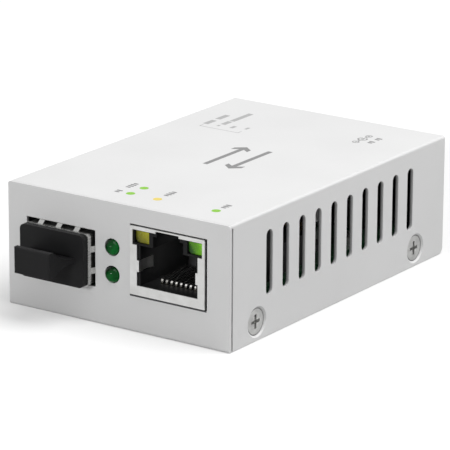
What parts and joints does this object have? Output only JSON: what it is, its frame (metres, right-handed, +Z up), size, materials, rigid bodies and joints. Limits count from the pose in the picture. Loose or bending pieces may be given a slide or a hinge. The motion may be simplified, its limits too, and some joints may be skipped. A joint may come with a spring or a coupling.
{
  "type": "fibre media converter",
  "caption": "Small sheet-metal box converter: SFP fibre port with dust plug, shielded RJ45 jack with lights, panel lamps, side cooling slots, DC inlet at the rear",
  "frame": {"origin": "middle of the flat underside", "axes": "+X right seen from the front panel, +Y from the front panel to the rear panel, +Z up"},
  "size_m": [0.048, 0.0796, 0.023],
  "materials": {
    "case_paint": "matt light grey powder coat",
    "screw_zinc": "bright zinc",
    "post_brass": "plain",
    "board_laminate": "solder mask over glass laminate",
    "cage_tin": "tin plate",
    "collar_steel": "spring steel",
    "connector_black": "moulded",
    "insulator_black": "moulded",
    "contact_gold": "gold flash",
    "plug_black": "moulded soft plastic",
    "shield_nickel": "nickel plate",
    "lens_yellow": "clear tinted",
    "lens_green": "clear tinted",
    "lamp_green": "diffused tinted",
    "terminal_tin": "tinned",
    "chip_epoxy": "moulded epoxy",
    "can_aluminium": "drawn",
    "crystal_steel": "drawn",
    "core_ferrite": "sintered",
    "chip_ceramic": "fired"
  },
  "bodies": {
    "converter": {"cover": "case_paint", "base": "case_paint", "cover_screws": "screw_zinc", "board_screws": "screw_zinc", "board_standoffs": "post_brass", "circuit_board": "board_laminate", "sfp_cage": "cage_tin", "sfp_spring_fingers": "collar_steel", "sfp_connector": "connector_black", "led_holder": "connector_black", "dc_jack_housing": "connector_black", "rj45_insulator": "insulator_black", "sfp_contacts": "contact_gold", "rj45_contacts": "contact_gold", "rj45_shield": "shield_nickel", "rj45_yellow_light": "lens_yellow", "rj45_green_light": "lens_green", "power_led": "lamp_green", "link_led": "lamp_green", "led_leads": "terminal_tin", "chip_leads": "terminal_tin", "dc_jack_pin": "terminal_tin", "dc_jack_spring": "terminal_tin", "converter_chip": "chip_epoxy", "memory_chip": "chip_epoxy", "regulator": "chip_epoxy", "lan_transformer": "chip_epoxy", "capacitors": "can_aluminium", "crystal": "crystal_steel", "inductor": "core_ferrite", "chip_parts": "chip_ceramic"},
    "plug": {"dust_plug": "plug_black"}
  },
  "joints": [
    {"name": "plug_pull", "type": "slide", "parent": "converter", "child": "plug", "axis": [0, -1, 0], "range_m": [0, 0.02]}
  ]
}
